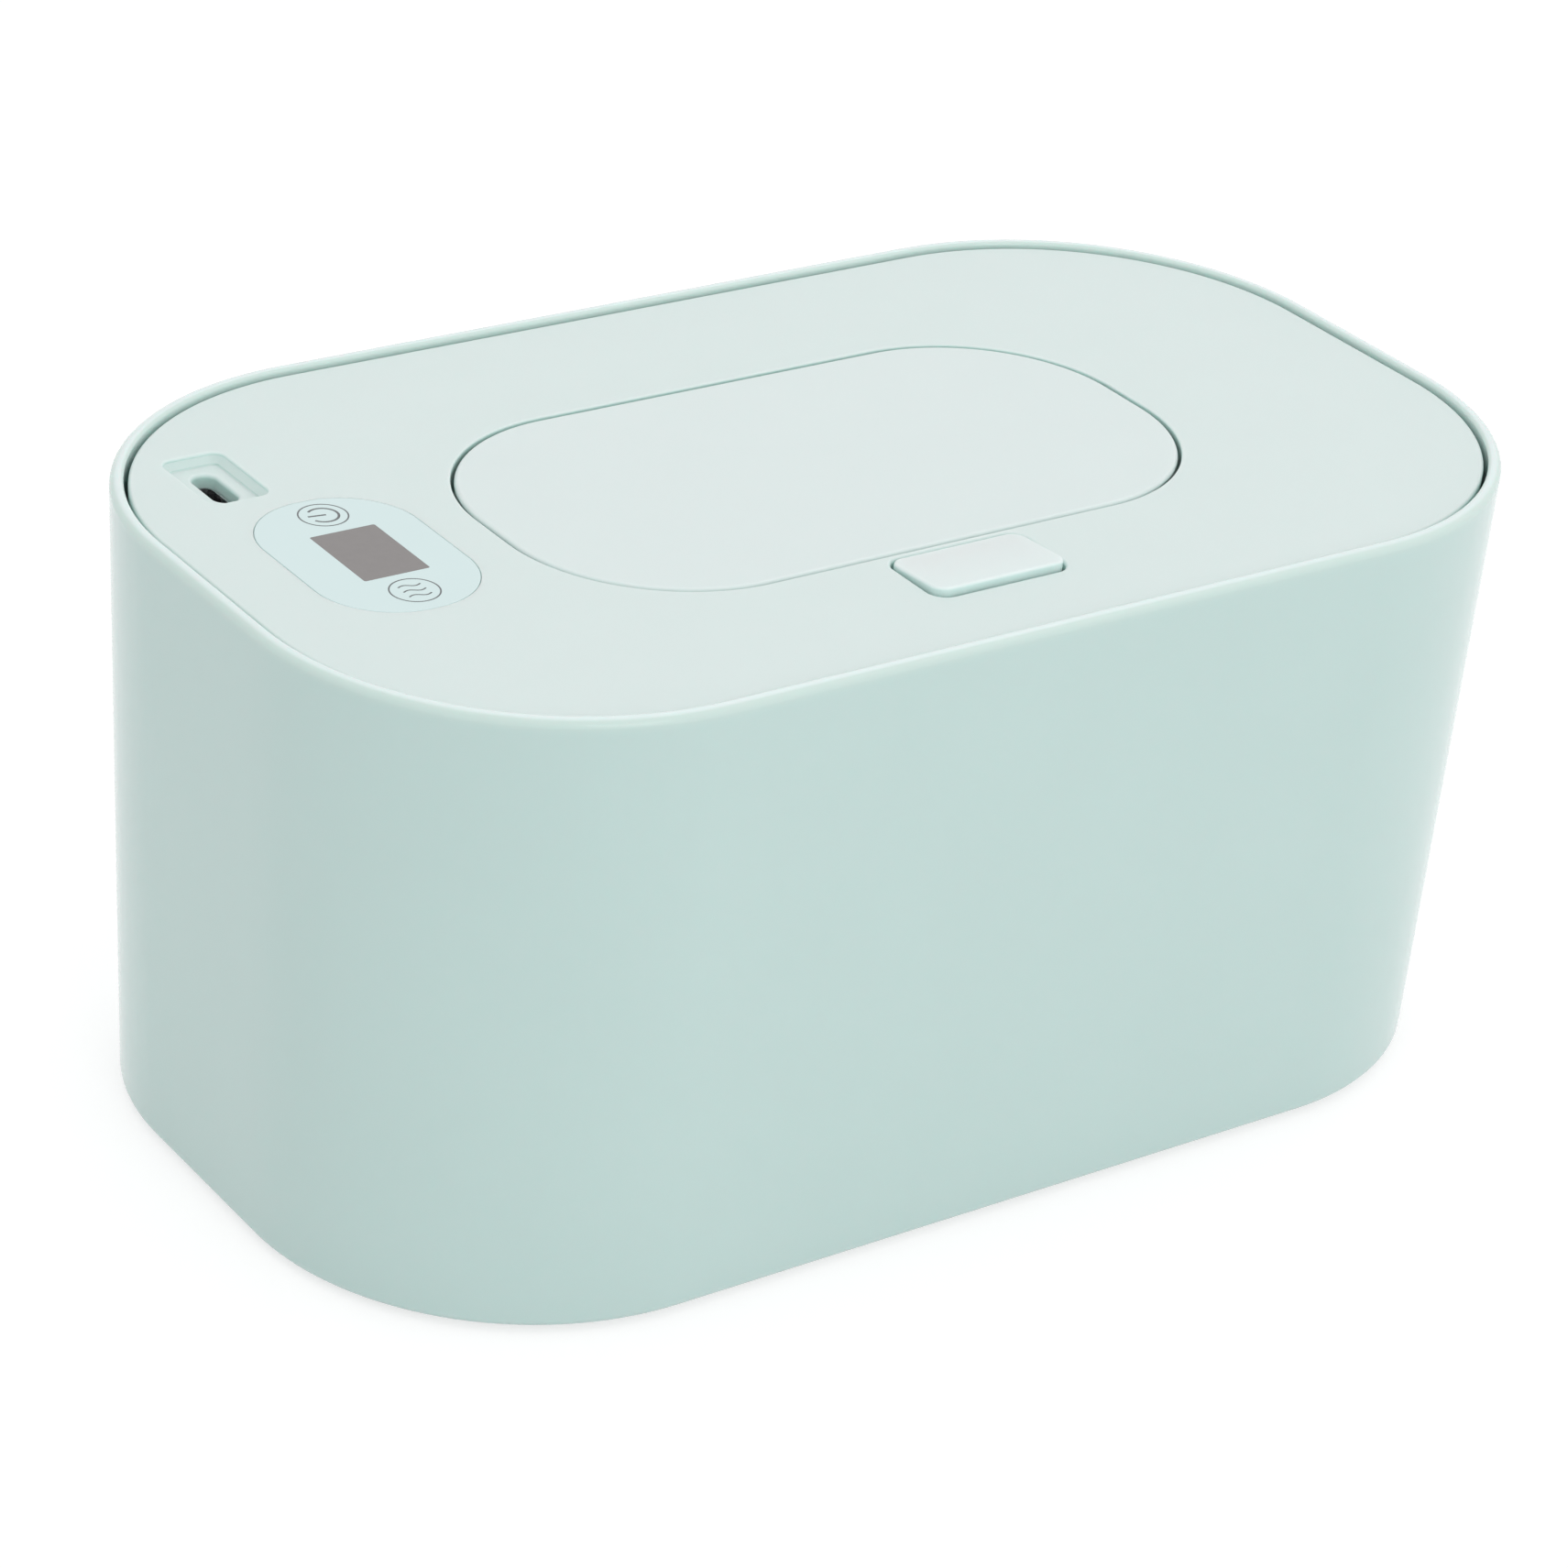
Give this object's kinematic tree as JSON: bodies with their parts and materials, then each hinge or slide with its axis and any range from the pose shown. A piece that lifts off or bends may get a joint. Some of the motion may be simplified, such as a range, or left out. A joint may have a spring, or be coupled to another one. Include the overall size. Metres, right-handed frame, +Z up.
{
  "type": "baby wipe warmer",
  "caption": "Wipe warmer: deep drafted tub with a lift-off lid, flip-up door, push-button latch, touch panel and power socket.",
  "frame": {"origin": "centre of the outline on the surface that the feet rest on", "axes": "+X along the length (the control panel is at -X), -Y to the front with the button, +Z up"},
  "size_m": [0.2, 0.1192, 0.0951],
  "materials": {
    "shell": "gloss",
    "lid": "satin",
    "door": "satin",
    "panel_film": "gloss film",
    "display": "smoked window",
    "liner": "satin",
    "foam": "closed-cell foam",
    "silicone": "soft matt",
    "aluminium": "satin",
    "heater_film": "polyimide film",
    "steel": "plated",
    "board": "solder mask",
    "black_plastic": "moulded",
    "lead": "insulated wire"
  },
  "bodies": {
    "tub": {"outer_shell": "shell", "inner_tub": "liner", "insulation_wrap": "foam", "foot_1": "silicone", "foot_2": "silicone", "foot_3": "silicone", "foot_4": "silicone", "base_screw_1": "steel", "base_screw_2": "steel", "base_screw_3": "steel", "base_screw_4": "steel"},
    "lid": {"lid_cover": "lid", "lid_base": "liner", "lid_seal": "silicone", "heat_plate": "aluminium", "heating_film": "heater_film", "temperature_sensor": "black_plastic", "heater_lead": "lead", "sensor_lead": "lead", "circuit_board": "board", "control_chip": "black_plastic", "control_film": "panel_film", "display_lens": "display", "display_module": "black_plastic", "touch_spring_power": "steel", "touch_spring_set": "steel", "usb_shell": "steel", "usb_tongue": "black_plastic", "lid_screw_1": "steel", "lid_screw_2": "steel", "lid_screw_3": "steel", "lid_screw_4": "steel", "lid_screw_5": "steel", "lid_screw_6": "steel", "board_screw_1": "steel", "board_screw_2": "steel", "board_screw_3": "steel", "board_screw_4": "steel", "hinge_pin": "steel", "torsion_spring": "steel", "button_spring": "steel"},
    "door": {"door_panel": "door", "door_inner": "liner", "door_seal": "silicone"},
    "button": {"button_cap": "door"},
    "latch": {"latch_slider": "liner"}
  },
  "joints": [
    {"name": "lid_lift", "type": "slide", "parent": "tub", "child": "lid", "axis": [0, 0, 1], "range_m": [0, 0.06]},
    {"name": "door_hinge", "type": "hinge", "parent": "lid", "child": "door", "pos_m": [-0.00095, 0.03685, 0.08908], "axis": [-1, 0, 0], "range_deg": [0, 100]},
    {"name": "button_press", "type": "slide", "parent": "lid", "child": "button", "axis": [0, 0, -1], "range_m": [0, 0.002], "stiffness_N_per_m": 300, "deforming": ["button_spring"]},
    {"name": "latch_slide", "type": "slide", "parent": "lid", "child": "latch", "axis": [0, -1, 0], "range_m": [0, 0.002]}
  ],
  "couplings": [
    {"joint": "latch_slide", "follows": "button_press", "ratio": 1}
  ]
}
